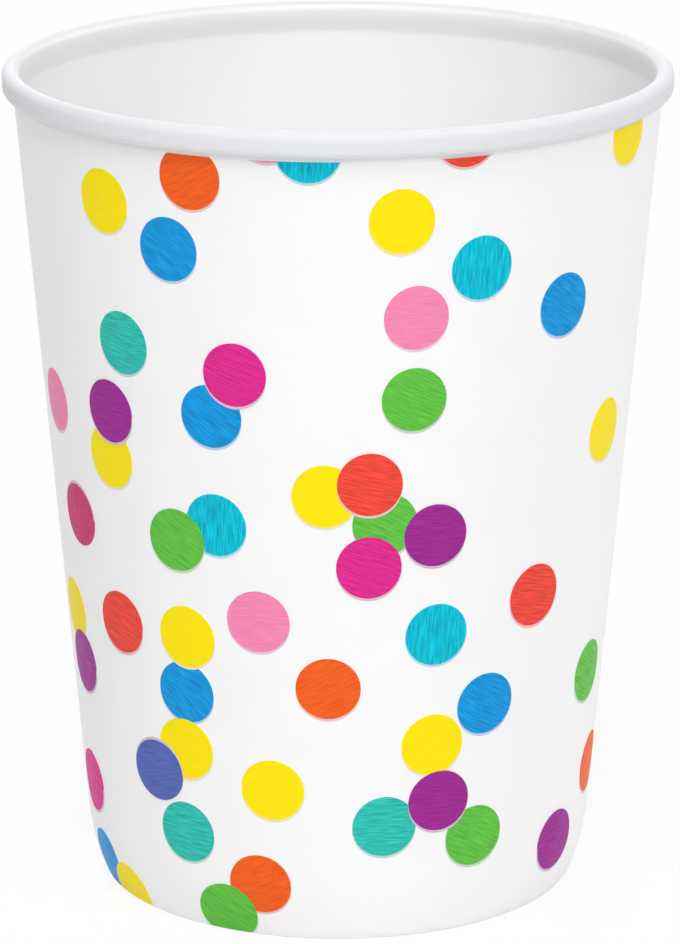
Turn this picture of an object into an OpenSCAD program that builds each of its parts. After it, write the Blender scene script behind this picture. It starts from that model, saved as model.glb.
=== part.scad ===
// Paper party cup in one upright piece, standing on its foot.
// Origin: centre of the foot on the table. +Z up. Front of the cup: -Y. Millimetres.
//
// The side wall is one sheet of board rolled to a cone and lapped at a side seam.
// Its top edge is curled outward to the rolled rim.
// Its lower edge is folded in and up round the skirt of the base, and this heel is drawn in.
// The base is a pressed disc with a turned-down skirt, sealed inside the heel.
// Round confetti dots are printed on the outside, each ink colour in its own film.

/* [Cup] */
// Height of the cup from the table to the top of the rolled rim
cup_h = 113; // [95:1:125]
// Outside diameter of the rolled rim
rim_d = 90; // [84:1:96]
// Diameter of the wall's straight line carried down to the table
base_d = 68; // [60:1:74]
// Thickness of the board
board_t = 0.4; // [0.3:0.05:0.5]

/* [Rolled rim] */
// Height of the roll's oval section
roll_h = 3.4; // [2.8:0.1:4.4]
// Width of the roll's oval section
roll_w = 2.3; // [2:0.1:2.8]
// How far the roll stands in from the inner face of the wall
roll_inset = 0.4; // [0:0.1:0.6]
// Clearance between the tucked edge of the roll and the wall
roll_gap = 0.1; // [0.05:0.05:0.2]
// Length of the straight edge tucked up inside the roll
roll_tuck = 0.8; // [0.4:0.1:1]

/* [Heel and base] */
// Height of the heel band, where the wall starts to curve inward
heel_h = 9; // [7.5:0.5:12]
// How far the foot is drawn in from the wall's straight line
heel_tuck = 1.5; // [0.8:0.1:2.2]
// Height of the base panel's top face above the table
base_up = 7; // [5:0.5:7.5]
// Outer radius of the bend between the base panel and its skirt
base_bend_r = 1; // [0.7:0.1:1.5]
// Clearance between the sealed layers of the heel
seal_gap = 0.02; // [0.01:0.01:0.05]

/* [Side seam] */
// Angle of the seam's cut edge, counted from the front towards the right
seam_turn = 105; // [100:1:108]
// Width of the lap at the middle of the wall
lap_w = 6; // [4:0.5:7]
// Width of the slope that leads up to the lap
ramp_w = 5; // [4:0.5:6]

/* [Print] */
// Diameter of a printed dot
dot_d = 8.6; // [7:0.1:9.5]
// Thickness of the ink film
ink_t = 0.12; // [0.12:0.01:0.2]
// Turn from the artwork at the front to its repeat at the back
repeat_turn = 190; // [186:1:192]

/* [Hidden] */
$fn = 96;
rim_r = rim_d / 2;
foot_line_r = base_d / 2;

// Roll: the neck is the upright stretch of wall on its inner side.
// The wall bends into the neck over twice the shoulder's height, at the roll's foot.
shoulder_h = 0.6;
neck_in_r = rim_r - roll_w;
neck_out_r = neck_in_r + board_t;
neck_z = cup_h - roll_h + shoulder_h;
crown_r = roll_w / 2;
crown_z = cup_h - crown_r;
under_r = (roll_w - board_t - roll_gap) / 2;
under_z = cup_h - roll_h + under_r;
shoulder_z = cup_h - roll_h - shoulder_h;

// Wall: a straight line that leans outward on its way up.
top_line_r = neck_out_r + roll_inset;
wall_slope = (top_line_r - foot_line_r) / shoulder_z;
lean = atan(wall_slope);
outward = [cos(lean), -sin(lean)];
mid_r = (foot_line_r + top_line_r) / 2;
function wall_r(z) = foot_line_r + wall_slope * z;

// Heel: an arc that leaves the wall's line at heel_h and ends at the foot.
heel_top = [wall_r(heel_h), heel_h];
heel_run = [foot_line_r - heel_tuck, 0] - heel_top;
bow_r = (heel_run * heel_run) / (2 * heel_tuck * cos(lean));
bow_c = heel_top - bow_r * outward;
function bow_x(r, z) = bow_c[0] + sqrt(r * r - (bow_c[1] - z) * (bow_c[1] - z));
function bow_turn(p) = atan2(p[1] - bow_c[1], p[0] - bow_c[0]);

// Radii of the heel's layers about the arc's centre, from the outside in
skirt_r = bow_r - board_t - seal_gap;
flap_r = skirt_r - board_t - seal_gap;
fold_out = [bow_x(bow_r - board_t, board_t), board_t];
fold_in = [bow_x(flap_r, board_t), board_t];
bend_z = base_up - base_bend_r;
bend_c = [bow_x(skirt_r - base_bend_r, bend_z), bend_z];
flap_h = bend_z - board_t;
flap_top = [bow_x(flap_r, flap_h), flap_h];
skirt_low = board_t + seal_gap;

// Side seam
lap_turn = lap_w / mid_r * 180 / PI;
ramp_turn = ramp_w / mid_r * 180 / PI;
front = -90;
lap_start = front + seam_turn - lap_turn;
ramp_overlap = 1;
ramp_low = 0.1 * board_t;
ramp_high = 0.95 * board_t;
ramp_layer_t = 1.01 * board_t;

// Half of the angle that a dot's film is cut from
dot_turn = 15;

// Ink colours
yellow_ink = "#FFE600";
orange_ink = "#F4601E";
red_ink = "#EE4A3C";
pink_ink = "#F589B4";
magenta_ink = "#DC2A8F";
crimson_ink = "#CC3672";
purple_ink = "#9E2A92";
indigo_ink = "#5868B5";
blue_ink = "#0F96DC";
cyan_ink = "#00BCD4";
teal_ink = "#2FBFB0";
green_ink = "#62BF44";

// Artwork of the front, placed by eye:
// [degrees to the right of the front, height in hundredths of the cup's height]
yellow_dots = [
    [-45, 89.4], [11, 89.4], [61, 95.6], [-49, 58], [63, 59.3], [-2.5, 56.6],
    [-72, 35.4], [-32, 37.6], [20, 25], [-34, 23.2], [-14, 19.5], [-58, 0.9]
];
orange_dots = [[-26, 93.8], [-2, 32.7], [76, 15], [-17.5, 7.1]];
red_dots = [[22, 99.1], [6, 58], [-50, 37.2], [43, 41.6]];
pink_dots = [[-12, 100], [14, 77.9], [-70, 61.9], [-16, 40.7]];
magenta_dots = [[-19, 70.8], [6, 47.8], [-72, 13.3]];
crimson_dots = [[-63, 48.7]];
purple_dots = [[-48, 63.7], [19, 51.3], [-69, 29.2], [22, 17.7], [58, 8]];
indigo_dots = [[-42, 19.5]];
blue_dots = [[-31, 85], [45, 77], [-24, 65.5], [-33, 30.5], [32, 29.2], [-69, 3.5]];
cyan_dots = [[-5, 97.8], [26, 83.2], [-24, 52.2], [20, 38.9]];
teal_dots = [[-43, 72.6], [-35, 12.4], [10, 15]];
green_dots = [[14, 68.1], [-33, 49.6], [9, 53.1], [67, 28.3], [31, 12.4], [-26, 2.7]];

// Inks in the order of printing. Each film is left out under the inks printed after it.
inks = [
    [blue_ink, blue_dots],
    [cyan_ink, cyan_dots],
    [orange_ink, orange_dots],
    [teal_ink, teal_dots],
    [pink_ink, pink_dots],
    [yellow_ink, yellow_dots],
    [green_ink, green_dots],
    [red_ink, red_dots],
    [magenta_ink, magenta_dots],
    [crimson_ink, crimson_dots],
    [purple_ink, purple_dots],
    [indigo_ink, indigo_dots]
];

// Sections are drawn in the half plane to the right of the axis, as one closed outline each.

// Points along an arc, both ends included
function arc(centre, r, from, to, steps = 8) = [
    for (i = [0:steps])
        let (a = from + (to - from) * i / steps)
            centre + r * [cos(a), sin(a)]
];
function reversed(points) = [for (i = [len(points) - 1:-1:0]) points[i]];

// The wall and heel line from under the roll down to the foot, set outward by a distance
function wall_line(out) = concat(
    [[wall_r(shoulder_z), shoulder_z] + out * outward],
    arc(bow_c, bow_r + out, -lean, bow_turn(fold_out))
);

// Printed face of the sheet: from the flap's edge round the foot, up the wall and into the roll
printed_face = concat(
    arc(bow_c, flap_r - board_t, bow_turn(flap_top), bow_turn(fold_in)),
    arc(fold_in, board_t, 180 + bow_turn(fold_in), 270, 4),
    arc(fold_out, board_t, 270, 360 + bow_turn(fold_out), 4),
    reversed(wall_line(0)),
    [[neck_out_r, neck_z]],
    arc([rim_r - crown_r, crown_z], crown_r - board_t, 180, 0, 16),
    arc([rim_r - under_r, under_z], under_r - board_t, 0, -180, 12),
    [[rim_r - 2 * under_r + board_t, under_z + roll_tuck]]
);

// Plain face of the sheet, along the same way
plain_face = concat(
    arc(bow_c, flap_r, bow_turn(flap_top), bow_turn(fold_in)),
    reversed(wall_line(-board_t)),
    [[neck_in_r, neck_z]],
    arc([rim_r - crown_r, crown_z], crown_r, 180, 0, 16),
    arc([rim_r - under_r, under_z], under_r, 0, -180, 12),
    [[rim_r - 2 * under_r, under_z + roll_tuck]]
);

module sheet_2d() {
    polygon(concat(printed_face, reversed(plain_face)));
}

// Flat panel, rounded bend and a skirt that follows the heel's curve down into the fold
module base_2d() {
    low_top = [bow_x(skirt_r, skirt_low), skirt_low];
    low_under = [bow_x(skirt_r - board_t, skirt_low), skirt_low];
    polygon(concat(
        [[0, base_up]],
        arc(bend_c, base_bend_r, 90, bow_turn(bend_c)),
        arc(bow_c, skirt_r, bow_turn(bend_c), bow_turn(low_top)),
        arc(bow_c, skirt_r - board_t, bow_turn(low_under), bow_turn(bend_c)),
        arc(bend_c, base_bend_r - board_t, bow_turn(bend_c), 90),
        [[0, base_up - board_t]]
    ));
}

// A layer on the outside of the wall, from one offset to another
module layer_2d(inner, outer) {
    polygon(concat(wall_line(inner), reversed(wall_line(outer))));
}

// The lap: a second layer of board over the seam, with its cut edge on the right
module seam_lap() {
    rotate([0, 0, lap_start - ramp_overlap])
        rotate_extrude(angle = lap_turn + ramp_overlap)
        layer_2d(-board_t / 2, board_t);
}

// The slope up to the lap: a layer like the wall, moved sideways so that it rises out of it
module seam_ramp() {
    shift = (ramp_high - ramp_low) / sin(ramp_turn);
    settle = shift * shift / (2 * mid_r) + ramp_low;
    intersection() {
        rotate([0, 0, lap_start - ramp_turn])
            rotate_extrude(angle = ramp_turn) square([rim_r, cup_h]);
        rotate([0, 0, lap_start + 90 - ramp_turn]) translate([shift, 0, 0])
            rotate_extrude() layer_2d(settle - ramp_layer_t, settle);
    }
}

// One sheet of board: wall, roll, heel fold and lapped seam
module side_wall() {
    color("#FAFAFA") {
        rotate_extrude() sheet_2d();
        seam_lap();
        seam_ramp();
    }
}

module base_disc() {
    color("#F4F4F2") rotate_extrude() base_2d();
}

// Height of a place of the artwork above the table
function dot_z(place) = place[1] / 100 * cup_h;

// How far apart two places lie on the wall
function apart(one, other) = norm([
    (other[0] - one[0]) * PI / 180 * wall_r(dot_z(one)),
    dot_z(other) - dot_z(one)
]);

// A round punch through the wall at one place of the artwork
module dot_punch(place) {
    rotate([0, 0, front + place[0]])
        translate([wall_r(dot_z(place)), 0, dot_z(place)])
        rotate([0, 90 + lean, 0])
        cylinder(d = dot_d, h = dot_d, center = true);
}

// A dot of ink film on the wall, less the dots printed over it
module dot(place, over) {
    intersection() {
        rotate([0, 0, front + place[0] - dot_turn])
            rotate_extrude(angle = 2 * dot_turn) layer_2d(0, ink_t);
        difference() {
            dot_punch(place);
            for (other = over)
                if (apart(place, other) < dot_d)
                    dot_punch(other);
        }
    }
}

// All dots of one ink. The artwork runs twice round the cup.
module printed(turn_in_print) {
    over = [for (later = [turn_in_print + 1:1:len(inks) - 1]) each inks[later][1]];
    color(inks[turn_in_print][0])
        for (turn = [0, repeat_turn])
        rotate([0, 0, turn])
        for (place = inks[turn_in_print][1])
            dot(place, over);
}

module ink_blue() {
    printed(0);
}

module ink_cyan() {
    printed(1);
}

module ink_orange() {
    printed(2);
}

module ink_teal() {
    printed(3);
}

module ink_pink() {
    printed(4);
}

module ink_yellow() {
    printed(5);
}

module ink_green() {
    printed(6);
}

module ink_red() {
    printed(7);
}

module ink_magenta() {
    printed(8);
}

module ink_crimson() {
    printed(9);
}

module ink_purple() {
    printed(10);
}

module ink_indigo() {
    printed(11);
}

side_wall();
base_disc();
ink_yellow();
ink_orange();
ink_red();
ink_pink();
ink_magenta();
ink_crimson();
ink_purple();
ink_indigo();
ink_blue();
ink_cyan();
ink_teal();
ink_green();
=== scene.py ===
# %% [markdown]
# # A paper party cup with confetti dots
#
# The real cup is three things: a printed board blank rolled to a cone, a small pressed base
# disc, and ink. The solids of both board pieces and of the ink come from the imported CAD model.
# This lesson dresses them: the board pieces are swept again with finer steps, the dots are laid
# on the wall as thin ink films, and every surface gets a procedural material.
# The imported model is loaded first, because all later pieces are fitted to it.

from math import atan, atan2, cos, degrees, pi, radians, sin, sqrt

import bpy
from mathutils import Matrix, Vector


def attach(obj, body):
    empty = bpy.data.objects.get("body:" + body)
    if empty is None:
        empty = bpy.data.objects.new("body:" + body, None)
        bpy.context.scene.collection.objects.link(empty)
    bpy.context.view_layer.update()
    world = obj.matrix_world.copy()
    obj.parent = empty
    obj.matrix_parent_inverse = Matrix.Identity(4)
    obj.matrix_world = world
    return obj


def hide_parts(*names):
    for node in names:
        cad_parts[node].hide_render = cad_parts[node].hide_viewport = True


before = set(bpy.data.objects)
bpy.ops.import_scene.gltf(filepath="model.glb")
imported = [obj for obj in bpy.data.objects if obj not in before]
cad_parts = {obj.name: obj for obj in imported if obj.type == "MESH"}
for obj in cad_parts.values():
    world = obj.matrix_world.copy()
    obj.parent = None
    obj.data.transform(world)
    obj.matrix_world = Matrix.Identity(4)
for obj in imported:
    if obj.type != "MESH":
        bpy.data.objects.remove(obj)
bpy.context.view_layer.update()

# %% [markdown]
# ## Sizes
#
# A cup is drawn by its section: half of a cut through the axis. The sizes below are those of
# the CAD model, so each dressed piece lies exactly where its solid lies. Everything is in
# metres, and `mm` turns the familiar millimetres into them.

# %% Sizes of the cup
mm = 0.001
cup_height = 113 * mm
rim_radius = 45 * mm
wall_foot_radius = 34 * mm
board = 0.4 * mm
roll_height = 3.4 * mm
roll_width = 2.3 * mm
roll_inset = 0.4 * mm
roll_gap = 0.1 * mm
roll_tuck = 0.8 * mm
shoulder = 0.6 * mm
heel_height = 9 * mm
heel_tuck = 1.5 * mm
base_height = 7 * mm
base_bend = 1 * mm
seal_gap = 0.02 * mm
dot_radius = 4.3 * mm

neck_inside = rim_radius - roll_width
neck_outside = neck_inside + board
roll_foot = cup_height - roll_height
wall_top_height = roll_foot - shoulder
wall_top_radius = neck_outside + roll_inset
wall_slope = (wall_top_radius - wall_foot_radius) / wall_top_height
lean = atan(wall_slope)
mid_radius = (wall_foot_radius + wall_top_radius) / 2
print(f"The wall leans out by {degrees(lean):.2f} degrees")

# %% [markdown]
# ## The heel's curve
#
# Near the table the wall leaves its straight line and curves inward. One circle describes this
# band: it touches the line at the top of the heel and passes through the foot. Its centre and
# radius follow from those two points, and all layers of the folded heel share that centre.

# %% Circle of the heel
heel_radius = wall_foot_radius + wall_slope * heel_height
heel_run = heel_radius - (wall_foot_radius - heel_tuck)
bow_radius = (heel_run**2 + heel_height**2) / (2 * heel_tuck * cos(lean))
bow_centre = (
    heel_radius - bow_radius * cos(lean),
    heel_height + bow_radius * sin(lean),
)


def heel_point(radius, height):
    """The point of a heel circle at a height."""
    drop = bow_centre[1] - height
    return bow_centre[0] + sqrt(radius**2 - drop**2), height


def heel_angle(point):
    """The direction of a point, seen from the centre of the heel's circle."""
    return atan2(point[1] - bow_centre[1], point[0] - bow_centre[0])


skirt_radius = bow_radius - board - seal_gap
flap_radius = skirt_radius - board - seal_gap
fold_outside = heel_point(bow_radius - board, board)
fold_inside = heel_point(flap_radius, board)
bend_centre = heel_point(skirt_radius - base_bend, base_height - base_bend)
flap_top = heel_point(flap_radius, base_height - base_bend - board)
foot_angle = heel_angle(fold_outside)
print(f"Heel circle: radius {bow_radius / mm:.1f} mm, foot {fold_outside[0] / mm:.1f} mm out")

# %% [markdown]
# ## Camera
#
# The photograph looks down at the cup by about sixteen degrees from some 70 cm away. A long
# lens keeps the wall's sides nearly straight. The lens follows from the picture's own scale:
# its focal length in pixels, carried over to a 36 mm wide sensor.

# %% Camera at the photograph's angle
picture_height = 944
focal_pixels = 4953
camera_distance = 680 * mm
camera_tilt = radians(16.2)
look_at = Vector((0.27 * mm, 0, 55.8 * mm))

camera_data = bpy.data.cameras.new("photo_camera")
camera_data.sensor_width = 36
camera_data.lens = focal_pixels * camera_data.sensor_width / picture_height
camera_data.clip_start = 10 * mm
camera = bpy.data.objects.new("photo_camera", camera_data)
bpy.context.scene.collection.objects.link(camera)
towards_camera = Vector((0, -cos(camera_tilt), sin(camera_tilt)))
camera.location = look_at + towards_camera * camera_distance
camera.rotation_euler = towards_camera.to_track_quat("Z", "Y").to_euler()
bpy.context.scene.camera = camera
print(f"Lens {camera_data.lens:.0f} mm")

# %% [markdown]
# ## One helper for all node trees
#
# Materials and Geometry Nodes are both trees of nodes. Adding a node always takes the same
# steps: make it, set its options, then fill or link its inputs. One function does this for
# every kind of node. A second one turns a hex colour, as a printer would write it, into the
# linear colour that Blender computes with.

# %% Helpers for nodes and colours
def add_node(tree, kind, inputs=None, **settings):
    """Add a node, set its options, and fill each input with a value or a link."""
    made = tree.nodes.new(kind)
    for name, value in settings.items():
        setattr(made, name, value)
    for key, value in (inputs or {}).items():
        if isinstance(value, bpy.types.NodeSocket):
            tree.links.new(value, made.inputs[key])
        else:
            made.inputs[key].default_value = value
    return made


def linear(hex_colour, share=1.0):
    """A hex colour as linear red, green, blue and alpha, darkened by a share."""
    parts = [int(hex_colour[i : i + 2], 16) / 255 for i in (1, 3, 5)]
    bent = [p / 12.92 if p <= 0.04045 else ((p + 0.055) / 1.055) ** 2.4 for p in parts]
    return (*[share * p for p in bent], 1.0)


def new_material(name):
    """An empty material with its shader linked to the output."""
    material = bpy.data.materials.new(name)
    material.use_nodes = True
    tree = material.node_tree
    tree.nodes.clear()
    shader = add_node(tree, "ShaderNodeBsdfPrincipled")
    add_node(tree, "ShaderNodeOutputMaterial", {"Surface": shader.outputs["BSDF"]})
    return material, tree, shader


# %% [markdown]
# ## Coated board
#
# Cup board is bleached paper with a very thin plastic coat, so it is white, smooth and a
# little shiny, with a faint cloudiness from the fibres beneath. A soft noise gives the
# cloudiness, and long fibres give the bump and the uneven sheen. The scales are counted in
# features per metre, so `1 / fibre_size` means one feature in 0.6 mm. On the tight curl of the
# rim the colour turns a shade greyer, which is painted shade on the roll's outer face, and the
# roughness rises there so it looks duller. The attribute `curl` says where.

# %% Coated paperboard material
cloud_size = 9 * mm
fibre_size = 0.6 * mm
fibre_squeeze = (1.0, 1.0, 0.3)
fibre_relief = 0.02 * mm
sheen_spread = 0.05
curl_dullness = 0.3


def board_material(name, colour, cloudy_colour, roll_shade_colour, roughness):
    """White cup board: cloudy colour, greyer painted shade on the tight curl, fibre bump and
    sheen.
    """
    material, tree, shader = new_material(name)
    shader.inputs["IOR"].default_value = 1.5
    shader.inputs["Specular IOR Level"].default_value = 0.5
    place = add_node(tree, "ShaderNodeTexCoord").outputs["Object"]
    cloud = add_node(
        tree, "ShaderNodeTexNoise", {"Vector": place, "Scale": 1 / cloud_size, "Detail": 3.0}
    )
    tint = add_node(
        tree,
        "ShaderNodeMix",
        {0: cloud.outputs[0], 6: linear(cloudy_colour), 7: linear(colour)},
        data_type="RGBA",
    )
    # The curl mark mixes in a greyer colour: painted shade on the roll's outer face.
    curl = add_node(tree, "ShaderNodeAttribute", attribute_name="curl")
    roll_shaded = add_node(
        tree,
        "ShaderNodeMix",
        {0: curl.outputs["Fac"], 6: tint.outputs[2], 7: linear(roll_shade_colour)},
        data_type="RGBA",
    )
    tree.links.new(roll_shaded.outputs[2], shader.inputs["Base Color"])
    squeeze = add_node(
        tree, "ShaderNodeMapping", {"Vector": place, "Scale": fibre_squeeze}
    )
    fibre = add_node(
        tree,
        "ShaderNodeTexNoise",
        {"Vector": squeeze.outputs[0], "Scale": 1 / fibre_size, "Detail": 4.0},
    )
    bump = add_node(
        tree,
        "ShaderNodeBump",
        {"Strength": 0.12, "Distance": fibre_relief, "Height": fibre.outputs[0]},
    )
    tree.links.new(bump.outputs[0], shader.inputs["Normal"])
    sheen = add_node(
        tree,
        "ShaderNodeMapRange",
        {
            0: fibre.outputs[0],
            1: 0.3,
            2: 0.7,
            3: roughness - sheen_spread,
            4: roughness + sheen_spread,
        },
    )
    duller = add_node(
        tree,
        "ShaderNodeMath",
        {0: curl.outputs["Fac"], 1: curl_dullness, 2: sheen.outputs[0]},
        operation="MULTIPLY_ADD",
    )
    tree.links.new(duller.outputs[0], shader.inputs["Roughness"])
    return material


# The greyer colour given for the roll is painted shade.
wall_board = board_material(
    "coated_paperboard_wall", "#FAFAFA", "#F6F6F7", roll_shade_colour="#E0E1E4", roughness=0.4
)
base_board = board_material(
    "coated_paperboard_base", "#F6F6F5", "#F1F1F0", roll_shade_colour="#F1F1F0", roughness=0.45
)
print("Board materials:", wall_board.name, base_board.name)

# %% [markdown]
# ## Cut board edge
#
# Where a die cuts the blank, the coat is missing and the pressed fibres show: a matt, faintly
# creamy edge with layers along it. It is seen as a thin line at the side seam.

# %% Raw cut edge material
layer_size = 0.12 * mm
layer_relief = 0.03 * mm
cut_edge, tree, shader = new_material("raw_paperboard_edge")
shader.inputs["IOR"].default_value = 1.45
place = add_node(tree, "ShaderNodeTexCoord").outputs["Object"]
layers = add_node(
    tree,
    "ShaderNodeTexNoise",
    {"Vector": place, "Scale": 1 / layer_size, "Detail": 5.0, "Roughness": 0.7},
)
edge_tint = add_node(
    tree,
    "ShaderNodeMix",
    {0: layers.outputs[0], 6: linear("#D8D3C8"), 7: linear("#EFEBE2")},
    data_type="RGBA",
)
edge_shine = add_node(tree, "ShaderNodeMapRange", {0: layers.outputs[0], 3: 0.75, 4: 0.95})
edge_bump = add_node(
    tree,
    "ShaderNodeBump",
    {"Strength": 0.4, "Distance": layer_relief, "Height": layers.outputs[0]},
)
tree.links.new(edge_tint.outputs[2], shader.inputs["Base Color"])
tree.links.new(edge_shine.outputs[0], shader.inputs["Roughness"])
tree.links.new(edge_bump.outputs[0], shader.inputs["Normal"])
print("Edge material:", cut_edge.name)

# %% [markdown]
# ## Section of the wall
#
# The whole wall is one folded sheet, so its section is one closed outline: along the printed
# face, round the edge, and back along the plain face. An arc function draws the bends. The
# section starts at the flap inside the heel, runs round the foot, up the wall and into the
# rolled rim, where the edge is tucked in behind the wall.

# %% Outline of the folded sheet
def arc(centre, radius, start, stop, steps):
    """Points along an arc, both ends included."""
    angles = [start + (stop - start) * i / steps for i in range(steps + 1)]
    return [(centre[0] + radius * cos(a), centre[1] + radius * sin(a)) for a in angles]


def wall_line(lift, steps=12, rows=10, first_row=0.5 * mm):
    """The outside of wall and heel from under the roll to the foot, moved outward by lift.

    The straight part has a narrow first row, so that the bend above it shades only that row.
    """
    run = wall_top_height - heel_height
    drops = [0, first_row] + [run * i / rows for i in range(1, rows)]
    straight = [
        (
            wall_top_radius - wall_slope * drop + lift * cos(lean),
            wall_top_height - drop - lift * sin(lean),
        )
        for drop in drops
    ]
    return straight + arc(bow_centre, bow_radius + lift, -lean, foot_angle, steps)


crown = roll_width / 2
crown_centre = (rim_radius - crown, cup_height - crown)
under = (roll_width - board - roll_gap) / 2
under_centre = (rim_radius - under, roll_foot + under)
tuck_height = under_centre[1] + roll_tuck
neck_height = roll_foot + shoulder
printed_face = (
    arc(bow_centre, flap_radius - board, heel_angle(flap_top), heel_angle(fold_inside), 8)
    + arc(fold_inside, board, pi + heel_angle(fold_inside), 1.5 * pi, 6)
    + arc(fold_outside, board, 1.5 * pi, 2 * pi + foot_angle, 6)
    + wall_line(0)[::-1]
    + [(neck_outside, neck_height)]
    + arc(crown_centre, crown - board, pi, 0, 20)
    + arc(under_centre, under - board, 0, -pi, 16)
    + [(under_centre[0] - under + board, tuck_height)]
)
plain_face = (
    arc(bow_centre, flap_radius, heel_angle(flap_top), heel_angle(fold_inside), 8)
    + wall_line(-board)[::-1]
    + [(neck_inside, neck_height)]
    + arc(crown_centre, crown, pi, 0, 28)
    + arc(under_centre, under, 0, -pi, 20)
    + [(under_centre[0] - under, tuck_height)]
)
sheet_section = printed_face + plain_face[::-1]
print("Points in the sheet's section:", len(sheet_section))

# %% [markdown]
# ## How a tree begins
#
# Every Geometry Nodes tree in this lesson has the same frame: a mesh goes in and comes out, and
# named inputs carry the sizes and materials. One function sets this up.

# %% Start of a tree
socket_kinds = {
    "Steps": "NodeSocketInt",
    "Cells": "NodeSocketInt",
    "Full Turn": "NodeSocketBool",
}


def new_tree(name, sizes, materials):
    """An empty Geometry Nodes tree with named inputs for sizes and materials."""
    tree = bpy.data.node_groups.new(name, "GeometryNodeTree")
    tree.interface.new_socket("Geometry", in_out="INPUT", socket_type="NodeSocketGeometry")
    for size in sizes:
        kind = socket_kinds.get(size, "NodeSocketFloat")
        tree.interface.new_socket(size, in_out="INPUT", socket_type=kind)
    for material in materials:
        tree.interface.new_socket(material, in_out="INPUT", socket_type="NodeSocketMaterial")
    tree.interface.new_socket("Geometry", in_out="OUTPUT", socket_type="NodeSocketGeometry")
    return tree, add_node(tree, "NodeGroupInput").outputs


# %% [markdown]
# ## A tree that sweeps board round the cup
#
# Every board piece follows one rule: a flat section is carried round the axis. A Geometry
# Nodes tree says this once. The section goes in as edges, a rail runs round the cup, and
# `Curve to Mesh` joins them.

# %% The sweeping tree, first half: from section to swept board
merge_reach = 0.001 * mm
sweep_sizes = ["Rail Radius", "Steps", "Start Turn", "Sweep Turn", "Full Turn"]
sweep_sizes += ["Lap Lift", "Ramp Turn"]
sweep_tree, given = new_tree("sweep_board_round_cup", sweep_sizes, ["Board"])
section_curve = add_node(sweep_tree, "GeometryNodeMeshToCurve", {"Mesh": given["Geometry"]})
rail = add_node(
    sweep_tree,
    "GeometryNodeCurveArc",
    {
        "Resolution": given["Steps"],
        "Radius": given["Rail Radius"],
        "Start Angle": given["Start Turn"],
        "Sweep Angle": given["Sweep Turn"],
    },
)
closed_rail = add_node(
    sweep_tree,
    "GeometryNodeSetSplineCyclic",
    {"Geometry": rail.outputs["Curve"], "Cyclic": given["Full Turn"]},
)
swept = add_node(
    sweep_tree,
    "GeometryNodeCurveToMesh",
    {
        "Curve": closed_rail.outputs[0],
        "Profile Curve": section_curve.outputs["Curve"],
        "Fill Caps": True,
    },
)
joined = add_node(
    sweep_tree,
    "GeometryNodeMergeByDistance",
    {"Geometry": swept.outputs["Mesh"], "Distance": merge_reach},
)

# %% [markdown]
# ### Second half: the lift at the seam
#
# At the side seam a second layer climbs onto the first. So the tree can lift the outer points,
# from nothing at the start of the ramp to one board's thickness. Which points are outer ones is
# marked on the section as `lifted`. The wall and the base use the same tree without that lift.

# %% The sweeping tree, second half: lift and material
place = add_node(sweep_tree, "GeometryNodeInputPosition").outputs[0]
apart = add_node(sweep_tree, "ShaderNodeSeparateXYZ", {0: place})
turn = add_node(
    sweep_tree, "ShaderNodeMath", {0: apart.outputs[1], 1: apart.outputs[0]}, operation="ARCTAN2"
)
climb = add_node(
    sweep_tree,
    "ShaderNodeMath",
    {0: turn.outputs[0], 1: given["Start Turn"]},
    operation="SUBTRACT",
)
ramp = add_node(
    sweep_tree,
    "ShaderNodeMath",
    {0: climb.outputs[0], 1: given["Ramp Turn"]},
    operation="DIVIDE",
    use_clamp=True,
)
share = add_node(
    sweep_tree, "GeometryNodeInputNamedAttribute", {"Name": "lifted"}, data_type="FLOAT"
)
lifted = add_node(
    sweep_tree, "ShaderNodeMath", {0: ramp.outputs[0], 1: share.outputs[0]}, operation="MULTIPLY"
)
lift = add_node(
    sweep_tree,
    "ShaderNodeMath",
    {0: lifted.outputs[0], 1: given["Lap Lift"]},
    operation="MULTIPLY",
)
flat = add_node(sweep_tree, "ShaderNodeVectorMath", {0: place, 1: (1, 1, 0)}, operation="MULTIPLY")
outward = add_node(
    sweep_tree, "ShaderNodeVectorMath", {0: flat.outputs[0]}, operation="NORMALIZE"
)
offset = add_node(
    sweep_tree,
    "ShaderNodeVectorMath",
    {0: outward.outputs[0], 3: lift.outputs[0]},
    operation="SCALE",
)
moved = add_node(
    sweep_tree,
    "GeometryNodeSetPosition",
    {"Geometry": joined.outputs[0], "Offset": offset.outputs[0]},
)
real = add_node(sweep_tree, "GeometryNodeRealizeInstances", {0: moved.outputs[0]})
dressed = add_node(
    sweep_tree,
    "GeometryNodeSetMaterial",
    {"Geometry": real.outputs[0], "Material": given["Board"]},
)
add_node(sweep_tree, "NodeGroupOutput", {0: dressed.outputs[0]})
print("Nodes in the sweeping tree:", len(sweep_tree.nodes))

# %% [markdown]
# ## From tree to plain mesh
#
# A modifier holds the tree while its inputs are set. The evaluated result then becomes a plain
# mesh and the modifier goes away, so the piece keeps exactly what the tree made. Bends of
# more than 40 degrees stay crisp, and the rest is shaded smooth.

# %% Run a tree on a piece
crisp_bend = radians(40)


def build_piece(name, start_mesh, tree, values):
    """Run a tree on a mesh and keep the result as a plain piece at the origin."""
    source = bpy.data.objects.new(name + "_source", start_mesh)
    bpy.context.scene.collection.objects.link(source)
    modifier = source.modifiers.new("tree", "NODES")
    modifier.node_group = tree
    for item in tree.interface.items_tree:
        if item.in_out == "INPUT" and item.name in values:
            modifier[item.identifier] = values[item.name]
    graph = bpy.context.evaluated_depsgraph_get()
    mesh = bpy.data.meshes.new_from_object(source.evaluated_get(graph))
    source.modifiers.remove(modifier)
    bpy.data.objects.remove(source)
    mesh.name = name
    mesh.shade_smooth()
    mesh.set_sharp_from_angle(angle=crisp_bend)
    piece = bpy.data.objects.new(name, mesh)
    bpy.context.scene.collection.objects.link(piece)
    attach(piece, "root")
    print(f"{name}: {len(mesh.vertices)} points, {len(mesh.polygons)} faces")
    return piece


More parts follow.
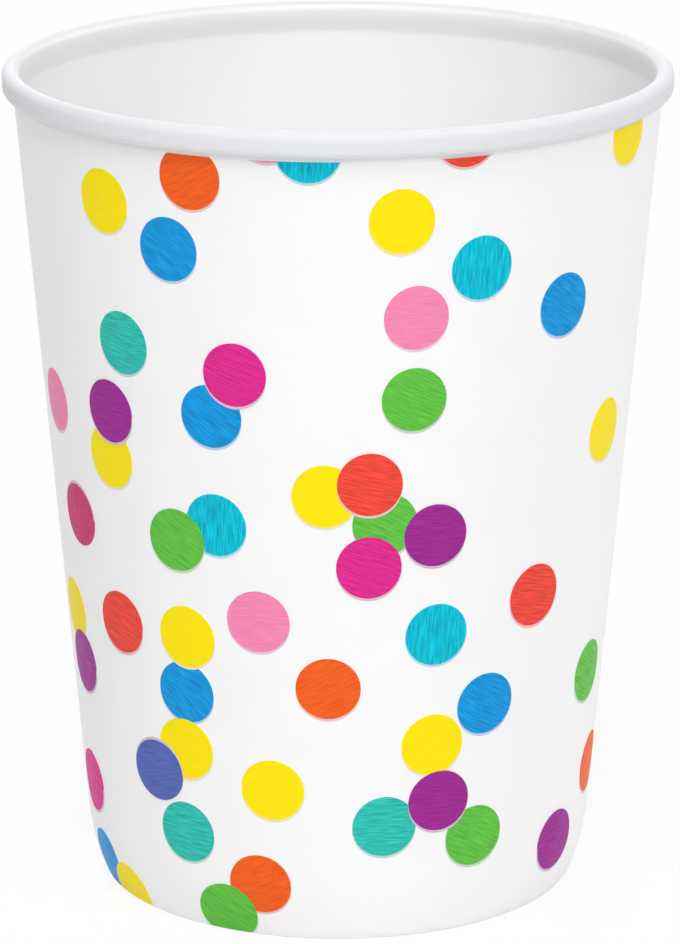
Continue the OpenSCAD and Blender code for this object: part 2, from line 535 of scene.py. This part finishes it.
def section_mesh(points, mark_name, marks):
    """A section as a closed row of edges, with one named number stored on each point."""
    corners = [(radius - mid_radius, -height, 0) for radius, height in points]
    edges = [(i, (i + 1) % len(points)) for i in range(len(points))]
    mesh = bpy.data.meshes.new("section")
    mesh.from_pydata(corners, edges, [])
    mesh.attributes.new(mark_name, "FLOAT", "POINT").data.foreach_set("value", marks)
    return mesh


# %% [markdown]
# ## The wall
#
# With its section and the tree at hand, the wall is one call: a full turn in 256 steps. At a
# radius of 45 mm that leaves each step within 0.004 mm of the true circle. The section's points
# on the roll are marked with `curl`, from nothing at the neck to one over the whole roll. That
# mark carries the roll's painted shade and its duller gloss.

# %% Sweep the wall
steps_round = 256
full_turn = {
    "Rail Radius": mid_radius,
    "Steps": steps_round,
    "Start Turn": -pi,
    "Sweep Turn": 2 * pi * (steps_round - 1) / steps_round,
    "Full Turn": True,
    "Lap Lift": 0.0,
    "Ramp Turn": 1.0,
}
curl_run = 0.4 * crown


def curl_mark(radius, height):
    """One on the roll, and zero on the neck and the wall."""
    if height < roll_foot - shoulder / 2:
        return 0.0
    return min(1.0, max(0.0, (radius - neck_inside) / curl_run))


curl_marks = [curl_mark(radius, height) for radius, height in sheet_section]
wall = build_piece(
    "cup_wall",
    section_mesh(sheet_section, "curl", curl_marks),
    sweep_tree,
    full_turn | {"Board": wall_board},
)
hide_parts("side_wall")

# %% [markdown]
# ## The base disc
#
# The base is a shallow pressed cap: a flat panel, a small round bend, and a skirt that runs
# down into the heel's fold. Its section is an open-ended strip that closes on the axis.

# %% Sweep the base
skirt_foot = board + seal_gap
skirt_low = heel_point(skirt_radius, skirt_foot)
skirt_low_inside = heel_point(skirt_radius - board, skirt_foot)
bend_angle = heel_angle(bend_centre)
base_section = (
    [(0, base_height)]
    + arc(bend_centre, base_bend, pi / 2, bend_angle, 10)
    + arc(bow_centre, skirt_radius, bend_angle, heel_angle(skirt_low), 8)
    + arc(bow_centre, skirt_radius - board, heel_angle(skirt_low_inside), bend_angle, 8)
    + arc(bend_centre, base_bend - board, bend_angle, pi / 2, 8)
    + [(0, base_height - board)]
)
base = build_piece(
    "cup_base",
    section_mesh(base_section, "curl", [0.0] * len(base_section)),
    sweep_tree,
    full_turn | {"Board": base_board},
)
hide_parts("base_disc")

# %% [markdown]
# ## The side seam
#
# A cone of board has to be closed somewhere. The blank's far edge lies over its near edge and
# is heat-sealed, so one board step runs up the cup. The near edge pushes the top layer outward
# little by little, which is the ramp, and the far edge ends in a crisp cut. The strip begins a
# little below the wall's face and rises through it, so no two faces lie on each other. Its
# top follows the wall in under the roll.

# %% Sweep the lap
seam_turn = radians(105)
lap_width = 6 * mm
ramp_width = 5 * mm
front = radians(-90)
lap_steps = 24
sunk = 0.02 * mm
lap_tuck = 0.2 * mm
cut_spread = radians(20)

lap_turn = lap_width / mid_radius
ramp_turn = ramp_width / mid_radius
strip_start = front + seam_turn - lap_turn - ramp_turn
lap_top = roll_foot + lap_tuck
lap_top_radius = wall_top_radius - roll_inset * (lap_top - wall_top_height) / (2 * shoulder)
outer_side = [(lap_top_radius - sunk, lap_top)] + wall_line(-sunk)
inner_side = ([(lap_top_radius - board / 2, lap_top)] + wall_line(-board / 2))[::-1]
lift_marks = [1.0] * len(outer_side) + [0.0] * len(inner_side)
lap = build_piece(
    "side_seam_lap",
    section_mesh(outer_side + inner_side, "lifted", lift_marks),
    sweep_tree,
    {
        "Rail Radius": mid_radius,
        "Steps": lap_steps,
        "Start Turn": strip_start,
        "Sweep Turn": lap_turn + ramp_turn,
        "Full Turn": False,
        "Lap Lift": board + sunk,
        "Ramp Turn": ramp_turn,
        "Board": wall_board,
    },
)
lap.data.materials.append(cut_edge)
cut_turn = front + seam_turn
along_the_sweep = Vector((-sin(cut_turn), cos(cut_turn), 0))
cut_faces = [f for f in lap.data.polygons if f.normal.dot(along_the_sweep) > cos(cut_spread)]
for face in cut_faces:
    face.material_index = 1
print("Faces of the cut edge:", len(cut_faces))
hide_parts("side_wall")

# %% [markdown]
# ## The artwork
#
# The print is a scatter of round confetti dots, each drawn like a disc of crepe paper. The
# places are given as an artist would note them: degrees to the right of the front, and
# hundredths of the cup's height. Each ink also has a level, which is its turn in the print
# run, the direction of its crepe lines, and how strongly those lines show. The whole artwork
# runs twice round the cup.

# %% Inks and dots
inks = {
    "blue": {
        "colour": "#0F96DC",
        "level": 1,
        "crepe": (-30, 0.8),
        "dots": [(-31, 85), (45, 77), (-24, 65.5), (-33, 30.5), (32, 29.2), (-69, 3.5)],
    },
    "cyan": {
        "colour": "#00BCD4",
        "level": 1,
        "crepe": (88, 1.0),
        "dots": [(-5, 97.8), (26, 83.2), (-24, 52.2), (20, 38.9)],
    },
    "orange": {
        "colour": "#F4601E",
        "level": 1,
        "crepe": (25, 0.45),
        "dots": [(-26, 93.8), (-2, 32.7), (76, 15), (-17.5, 7.1)],
    },
    "teal": {
        "colour": "#2FBFB0",
        "level": 1,
        "crepe": (-2, 0.8),
        "dots": [(-43, 72.6), (-35, 12.4), (10, 15)],
    },
    "pink": {
        "colour": "#F589B4",
        "level": 1,
        "crepe": (0, 0.25),
        "dots": [(-12, 100), (14, 77.9), (-70, 61.9), (-16, 40.7)],
    },
    "yellow": {
        "colour": "#FFE600",
        "level": 2,
        "crepe": (10, 0.08),
        "dots": [
            (-45, 89.4), (11, 89.4), (61, 95.6), (-49, 58), (63, 59.3), (-2.5, 56.6),
            (-72, 35.4), (-32, 37.6), (20, 25), (-34, 23.2), (-14, 19.5), (-58, 0.9),
        ],
    },
    "green": {
        "colour": "#62BF44",
        "level": 3,
        "crepe": (-28, 0.55),
        "dots": [(14, 68.1), (-33, 49.6), (9, 53.1), (67, 28.3), (31, 12.4), (-26, 2.7)],
    },
    "red": {
        "colour": "#EE4A3C",
        "level": 4,
        "crepe": (-14, 0.6),
        "dots": [(22, 99.1), (6, 58), (-50, 37.2), (43, 41.6)],
    },
    "magenta": {
        "colour": "#DC2A8F",
        "level": 4,
        "crepe": (-20, 0.6),
        "dots": [(-19, 70.8), (6, 47.8), (-72, 13.3)],
    },
    "crimson": {"colour": "#CC3672", "level": 4, "crepe": (60, 0.5), "dots": [(-63, 48.7)]},
    "purple": {
        "colour": "#9E2A92",
        "level": 4,
        "crepe": (-2, 0.6),
        "dots": [(-48, 63.7), (19, 51.3), (-69, 29.2), (22, 17.7), (58, 8)],
    },
    "indigo": {"colour": "#5868B5", "level": 4, "crepe": (10, 0.5), "dots": [(-42, 19.5)]},
}
shade_above = {"crimson", "indigo"}
artwork_turns = (0, 190)
print(sum(len(ink["dots"]) for ink in inks.values()), "dots, printed", len(artwork_turns), "times")

# %% [markdown]
# ## A tree that prints dots on the wall
#
# A dot on a cone that ends in a curved heel follows a rule, so a tree can lay it there. Each
# dot starts as a square grid. Every grid point keeps its direction from the middle but takes
# the radius of its square ring, and the square becomes a disc. The disc is then wrapped: its
# sideways place becomes a turn round the cup, its upward place a length along the wall line
# and, below the heel's top, along the heel's arc.

# %% The printing tree, first part: from square grid to flat disc
edge_ring_start = 0.999
print_sizes = ["Dot Radius", "Cells", "Edge Drop"]
print_tree, given = new_tree("print_dots_on_wall", print_sizes, ["Ink"])
corners = add_node(
    print_tree, "ShaderNodeMath", {0: given["Cells"], 1: 1.0}, operation="ADD"
)
grid = add_node(
    print_tree,
    "GeometryNodeMeshGrid",
    {
        "Size X": 2.0,
        "Size Y": 2.0,
        "Vertices X": corners.outputs[0],
        "Vertices Y": corners.outputs[0],
    },
)
scattered = add_node(
    print_tree,
    "GeometryNodeInstanceOnPoints",
    {"Points": given["Geometry"], "Instance": grid.outputs[0]},
)
real = add_node(print_tree, "GeometryNodeRealizeInstances", {0: scattered.outputs[0]})
place = add_node(print_tree, "GeometryNodeInputPosition").outputs[0]
size_only = add_node(print_tree, "ShaderNodeVectorMath", {0: place}, operation="ABSOLUTE")
sides = add_node(print_tree, "ShaderNodeSeparateXYZ", {0: size_only.outputs[0]})
ring = add_node(
    print_tree,
    "ShaderNodeMath",
    {0: sides.outputs[0], 1: sides.outputs[1]},
    operation="MAXIMUM",
)
inner_rings = add_node(
    print_tree, "ShaderNodeMath", {0: given["Cells"], 1: 2.0}, operation="SUBTRACT"
)
stretch = add_node(
    print_tree,
    "ShaderNodeMath",
    {0: given["Cells"], 1: inner_rings.outputs[0]},
    operation="DIVIDE",
)
reach = add_node(
    print_tree,
    "ShaderNodeMath",
    {0: ring.outputs[0], 1: stretch.outputs[0]},
    operation="MULTIPLY",
    use_clamp=True,
)
radius = add_node(
    print_tree,
    "ShaderNodeMath",
    {0: reach.outputs[0], 1: given["Dot Radius"]},
    operation="MULTIPLY",
)
direction = add_node(print_tree, "ShaderNodeVectorMath", {0: place}, operation="NORMALIZE")
on_disc = add_node(
    print_tree,
    "ShaderNodeVectorMath",
    {0: direction.outputs[0], 3: radius.outputs[0]},
    operation="SCALE",
)
nudge = add_node(
    print_tree,
    "GeometryNodeInputNamedAttribute",
    {"Name": "nudge"},
    data_type="FLOAT_VECTOR",
)
flat_place = add_node(
    print_tree,
    "ShaderNodeVectorMath",
    {0: on_disc.outputs[0], 1: nudge.outputs[0]},
    operation="ADD",
)
flat = add_node(print_tree, "ShaderNodeSeparateXYZ", {0: flat_place.outputs[0]})

# %% [markdown]
# ### Along the wall and the heel
#
# The length along the wall is counted from the foot of the straight line. Above the heel's top
# the point stays on the line. Below it the surplus length becomes a bend, an angle on the
# heel's circle.

# %% The printing tree, second part: length and bend
dot_turn = add_node(
    print_tree, "GeometryNodeInputNamedAttribute", {"Name": "turn"}, data_type="FLOAT"
)
dot_height = add_node(
    print_tree, "GeometryNodeInputNamedAttribute", {"Name": "height"}, data_type="FLOAT"
)
length = add_node(
    print_tree,
    "ShaderNodeMath",
    {0: dot_height.outputs[0], 1: 1 / cos(lean), 2: flat.outputs[1]},
    operation="MULTIPLY_ADD",
)
wall_length = wall_top_height / cos(lean)
heel_length = heel_height / cos(lean)
held = add_node(
    print_tree,
    "ShaderNodeClamp",
    {0: length.outputs[0], 1: heel_length, 2: wall_length},
)
surplus = add_node(
    print_tree,
    "ShaderNodeMath",
    {0: heel_length, 1: length.outputs[0]},
    operation="SUBTRACT",
)
most_bend = -lean - foot_angle
bend = add_node(
    print_tree,
    "ShaderNodeMapRange",
    {0: surplus.outputs[0], 1: 0.0, 2: bow_radius * most_bend, 3: 0.0, 4: most_bend},
)

# %% [markdown]
# ### The wrap
#
# Line and heel fit in one formula: the place on the line, held at the heel's top, plus what the
# bend adds. The film lies a little way out from there. The last ring drops into the board and
# gives the film its edge.

# %% The printing tree, third part: from flat disc to wall
tilt = add_node(
    print_tree, "ShaderNodeMath", {0: bend.outputs[0], 1: lean}, operation="ADD"
)
tilt_cos = add_node(print_tree, "ShaderNodeMath", {0: tilt.outputs[0]}, operation="COSINE")
tilt_sin = add_node(print_tree, "ShaderNodeMath", {0: tilt.outputs[0]}, operation="SINE")
facing = add_node(
    print_tree, "ShaderNodeMath", {0: tilt_sin.outputs[0], 1: -1.0}, operation="MULTIPLY"
)
face_way = add_node(
    print_tree, "ShaderNodeCombineXYZ", {0: tilt_cos.outputs[0], 1: facing.outputs[0]}
)
line_way = add_node(
    print_tree,
    "ShaderNodeVectorMath",
    {0: (sin(lean), cos(lean), 0), 3: held.outputs[0]},
    operation="SCALE",
)
line_place = add_node(
    print_tree,
    "ShaderNodeVectorMath",
    {
        0: line_way.outputs[0],
        1: (wall_foot_radius - bow_radius * cos(lean), bow_radius * sin(lean), 0),
    },
    operation="ADD",
)
film = add_node(
    print_tree, "GeometryNodeInputNamedAttribute", {"Name": "film"}, data_type="FLOAT"
)
edge_ring = add_node(
    print_tree,
    "ShaderNodeMath",
    {0: ring.outputs[0], 1: edge_ring_start},
    operation="GREATER_THAN",
)
film_lift = add_node(
    print_tree,
    "ShaderNodeMix",
    {0: edge_ring.outputs[0], 2: film.outputs[0], 3: given["Edge Drop"]},
    data_type="FLOAT",
)
arm = add_node(
    print_tree, "ShaderNodeMath", {0: film_lift.outputs[0], 1: bow_radius}, operation="ADD"
)
section_place = add_node(
    print_tree,
    "ShaderNodeVectorMath",
    {0: face_way.outputs[0], 1: arm.outputs[0], 2: line_place.outputs[0]},
    operation="MULTIPLY_ADD",
)
section = add_node(print_tree, "ShaderNodeSeparateXYZ", {0: section_place.outputs[0]})
side_turn = add_node(
    print_tree,
    "ShaderNodeMath",
    {0: flat.outputs[0], 1: section.outputs[0]},
    operation="DIVIDE",
)
cup_turn = add_node(
    print_tree,
    "ShaderNodeMath",
    {0: dot_turn.outputs[0], 1: side_turn.outputs[0]},
    operation="ADD",
)
radial = add_node(
    print_tree, "ShaderNodeCombineXYZ", {0: section.outputs[0], 2: section.outputs[1]}
)
wrapped = add_node(
    print_tree,
    "ShaderNodeVectorRotate",
    {"Vector": radial.outputs[0], "Angle": cup_turn.outputs[0]},
    rotation_type="Z_AXIS",
)

# %% [markdown]
# ### Trim and finish
#
# The roll covers the top of the artwork, so grid cells with all corners above the wall line
# go, and so do cells below the foot. The test is made on points first, because on a face it
# would only see the middle. Before the points move, each one stores its flat place in the
# attribute `print_place`. The crepe lines of the inks will follow it.

# %% The printing tree, end: trim, store the print place, set the material
print_turn = add_node(
    print_tree,
    "ShaderNodeMath",
    {0: dot_turn.outputs[0], 1: mid_radius, 2: flat.outputs[0]},
    operation="MULTIPLY_ADD",
)
print_place = add_node(
    print_tree, "ShaderNodeCombineXYZ", {0: print_turn.outputs[0], 1: length.outputs[0]}
)
stored = add_node(
    print_tree,
    "GeometryNodeStoreNamedAttribute",
    {"Geometry": real.outputs[0], "Name": "print_place", "Value": print_place.outputs[0]},
    data_type="FLOAT_VECTOR",
    domain="POINT",
)
foot_length = heel_length - bow_radius * most_bend
too_high = add_node(
    print_tree,
    "FunctionNodeCompare",
    {0: length.outputs[0], 1: wall_length},
    data_type="FLOAT",
    operation="GREATER_EQUAL",
)
too_low = add_node(
    print_tree,
    "FunctionNodeCompare",
    {0: length.outputs[0], 1: foot_length},
    data_type="FLOAT",
    operation="LESS_EQUAL",
)
trimmed = stored
for beyond in (too_high, too_low):
    whole_cell = add_node(
        print_tree,
        "GeometryNodeFieldOnDomain",
        {"Value": beyond.outputs[0]},
        data_type="BOOLEAN",
        domain="POINT",
    )
    trimmed = add_node(
        print_tree,
        "GeometryNodeDeleteGeometry",
        {"Geometry": trimmed.outputs[0], "Selection": whole_cell.outputs[0]},
        domain="FACE",
    )
laid = add_node(
    print_tree,
    "GeometryNodeSetPosition",
    {"Geometry": trimmed.outputs[0], "Position": wrapped.outputs[0]},
)
inked = add_node(
    print_tree,
    "GeometryNodeSetMaterial",
    {"Geometry": laid.outputs[0], "Material": given["Ink"]},
)
add_node(print_tree, "NodeGroupOutput", {0: inked.outputs[0]})
print("Nodes in the printing tree:", len(print_tree.nodes))

# %% [markdown]
# ## Printed ink
#
# Ink on coated board is a film of a few thousandths of a millimetre. It dries to a low sheen, so
# little white lies over the colour and it stays deep. The artwork imitates crepe paper, so fine
# lines run across each dot. Stretched noise draws them: long along the line, short across it,
# and slightly bent by a second noise. Under each dot the artwork shows a pale rim, drawn as a
# second disc of the same ink that is thinned with white. The attribute `pale` tells the two
# apart.

# %% Ink material
crepe_length = 3.0 * mm
crepe_spacing = 0.2 * mm
crepe_bend = 1.2 * mm
crepe_contrast = 0.3
crepe_relief = 0.01 * mm
ink_gloss = 0.12
ink_left_in_pale = 0.3
thinning_white = "#E2E2E6"


def ink_material(name, colour, crepe_angle, crepe_strength):
    """Printed ink with crepe lines and a pale version of itself."""
    material, tree, shader = new_material(name)
    shader.inputs["IOR"].default_value = 1.5
    shader.inputs["Specular IOR Level"].default_value = ink_gloss
    place = add_node(
        tree, "ShaderNodeAttribute", attribute_name="print_place"
    ).outputs["Vector"]
    waves = add_node(
        tree, "ShaderNodeTexNoise", {"Vector": place, "Scale": 1 / crepe_bend, "Detail": 1.0}
    )
    bent = add_node(
        tree,
        "ShaderNodeVectorMath",
        {0: waves.outputs["Color"], 1: (crepe_spacing,) * 3, 2: place},
        operation="MULTIPLY_ADD",
    )
    turned = add_node(
        tree,
        "ShaderNodeVectorRotate",
        {"Vector": bent.outputs[0], "Angle": -radians(crepe_angle)},
        rotation_type="Z_AXIS",
    )
    stretched = add_node(
        tree,
        "ShaderNodeVectorMath",
        {0: turned.outputs[0], 1: (1 / crepe_length, 1 / crepe_spacing, 1)},
        operation="MULTIPLY",
    )
    lines = add_node(
        tree, "ShaderNodeTexNoise", {"Vector": stretched.outputs[0], "Scale": 1.0, "Detail": 2.0}
    )
    level = add_node(
        tree,
        "ShaderNodeMapRange",
        {0: lines.outputs[0], 1: 0.35, 2: 0.65, 3: 0.0, 4: 1.0},
    )
    contrast = crepe_contrast * crepe_strength
    deep = linear(colour, 1 - contrast)
    bright = [min(1.0, part * (1 + contrast)) for part in linear(colour)]
    crepe = add_node(
        tree,
        "ShaderNodeMix",
        {0: level.outputs[0], 6: deep, 7: bright},
        data_type="RGBA",
    )
    thinned = [
        ink_left_in_pale * ink + (1 - ink_left_in_pale) * white
        for ink, white in zip(linear(colour), linear(thinning_white))
    ]
    pale = add_node(tree, "ShaderNodeAttribute", attribute_name="pale").outputs["Fac"]
    shown = add_node(
        tree, "ShaderNodeMix", {0: pale, 6: crepe.outputs[2], 7: thinned}, data_type="RGBA"
    )
    tree.links.new(shown.outputs[2], shader.inputs["Base Color"])
    sheen = add_node(
        tree, "ShaderNodeMapRange", {0: lines.outputs[0], 1: 0.3, 2: 0.7, 3: 0.5, 4: 0.4}
    )
    tree.links.new(sheen.outputs[0], shader.inputs["Roughness"])
    bump = add_node(
        tree,
        "ShaderNodeBump",
        {"Strength": 0.1, "Distance": crepe_relief, "Height": lines.outputs[0]},
    )
    tree.links.new(bump.outputs[0], shader.inputs["Normal"])
    return material


# %% [markdown]
# ## Print the dots
#
# Each ink is one piece. Its dots enter the tree as bare points that carry their place as
# attributes. For every dot there are two points: first the pale disc, shifted by a third of a
# millimetre, then the dot itself, one film higher. Inks with a higher level lie over the
# others.

# %% Lay all inks
film_step = 0.014 * mm
shade_shift = 0.36 * mm
edge_drop = -0.02 * mm
dot_cells = 20
for name, ink in inks.items():
    turns, heights, films, nudges, pales = [], [], [], [], []
    for repeat in artwork_turns:
        for turn, height in ink["dots"]:
            for pale in (1, 0):
                turns.append(front + radians(turn + repeat))
                heights.append(height / 100 * cup_height)
                films.append((2 * ink["level"] - pale) * film_step)
                nudges.append(pale * shade_shift * (1 if name in shade_above else -1))
                pales.append(float(pale))
    points = bpy.data.meshes.new(f"dots_{name}")
    points.from_pydata([(0, 0, 0)] * len(turns), [], [])
    for label, values in (
        ("turn", turns), ("height", heights), ("film", films), ("pale", pales)
    ):
        points.attributes.new(label, "FLOAT", "POINT").data.foreach_set("value", values)
    nudge_data = points.attributes.new("nudge", "FLOAT_VECTOR", "POINT").data
    for entry, shift in zip(nudge_data, nudges):
        entry.vector = (0, shift, 0)
    material = ink_material(f"printed_ink_{name}", ink["colour"], *ink["crepe"])
    dots = build_piece(
        f"print_{name}",
        points,
        print_tree,
        {"Dot Radius": dot_radius, "Cells": dot_cells, "Edge Drop": edge_drop, "Ink": material},
    )
    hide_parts(f"ink_{name}")

# %% [markdown]
# ## Floor
#
# The photograph has a pure white ground. The floor is white paper that glows for the camera
# only, which keeps it white without more light on the cup, and it still takes a little of the
# cup's shadow.

# %% Floor
floor_size = 6.0
floor_mesh = bpy.data.meshes.new("studio_floor")
half = floor_size / 2
floor_mesh.from_pydata(
    [(-half, -half, 0), (half, -half, 0), (half, half, 0), (-half, half, 0)], [], [(0, 1, 2, 3)]
)
floor = bpy.data.objects.new("studio_floor", floor_mesh)
bpy.context.scene.collection.objects.link(floor)


def seen_directly(tree):
    """One for rays from the camera, also by way of gloss or glass, and zero for all light."""
    rays = add_node(tree, "ShaderNodeLightPath")
    seen = rays.outputs["Is Camera Ray"]
    for other in ("Is Glossy Ray", "Is Transmission Ray"):
        either = add_node(
            tree, "ShaderNodeMath", {0: seen, 1: rays.outputs[other]}, operation="MAXIMUM"
        )
        seen = either.outputs[0]
    return seen


floor_glow = 0.85
floor_paper, tree, shader = new_material("white_paper_backdrop")
shader.inputs["Base Color"].default_value = linear("#F4F4F4")
shader.inputs["Roughness"].default_value = 0.9
glow = add_node(
    tree, "ShaderNodeMath", {0: seen_directly(tree), 1: floor_glow}, operation="MULTIPLY"
)
white = add_node(tree, "ShaderNodeEmission", {"Color": (1, 1, 1, 1), "Strength": 1.0})
mixed = add_node(
    tree,
    "ShaderNodeMixShader",
    {0: glow.outputs[0], 1: shader.outputs[0], 2: white.outputs[0]},
)
tree.links.new(mixed.outputs[0], tree.nodes["Material Output"].inputs["Surface"])
floor_mesh.materials.append(floor_paper)
print(f"Floor: {floor_size} m square")

# %% [markdown]
# ## World and lamps
#
# The world is white where it is seen and gives a soft fill of light everywhere else. One large
# soft lamp stands to the right of the camera, so the left side of the wall falls off to grey. A
# second one hangs high in front and shines into the cup. The side lamp brightens the right end
# of the wall and the rim, and the back lamp keeps the back from going dark.

# %% World and lamps
world = bpy.data.worlds.new("white_studio")
bpy.context.scene.world = world
world.use_nodes = True
tree = world.node_tree
tree.nodes.clear()
fill_light = 0.3
strength = add_node(
    tree, "ShaderNodeMapRange", {0: seen_directly(tree), 3: fill_light, 4: 1.0}
)
sky = add_node(
    tree, "ShaderNodeBackground", {"Color": (1, 1, 1, 1), "Strength": strength.outputs[0]}
)
add_node(tree, "ShaderNodeOutputWorld", {"Surface": sky.outputs[0]})


def soft_lamp(name, turn, height, distance, size, power):
    """A square lamp aimed at the middle of the cup. The turn counts from the front."""
    data = bpy.data.lights.new(name, "AREA")
    data.size = size
    data.energy = power
    lamp = bpy.data.objects.new(name, data)
    angle = front + radians(turn)
    lamp.location = (distance * cos(angle), distance * sin(angle), height)
    aim = Vector((0, 0, cup_height / 2)) - lamp.location
    lamp.rotation_euler = aim.to_track_quat("-Z", "Y").to_euler()
    bpy.context.scene.collection.objects.link(lamp)
    print(f"{name}: {power} W, {turn} degrees from the front")


soft_lamp("key_lamp", turn=18, height=0.7, distance=1.0, size=0.7, power=4.0)
soft_lamp("top_lamp", turn=-15, height=1.2, distance=0.5, size=0.8, power=9.5)
soft_lamp("side_lamp", turn=120, height=0.4, distance=1.0, size=0.5, power=2.0)
soft_lamp("back_lamp", turn=190, height=0.6, distance=1.2, size=0.8, power=5.0)

# %% [markdown]
# ## Colours
#
# Colours are shown plainly, without a film-like tone curve.

# %% Finish
bpy.context.scene.view_settings.view_transform = "Standard"
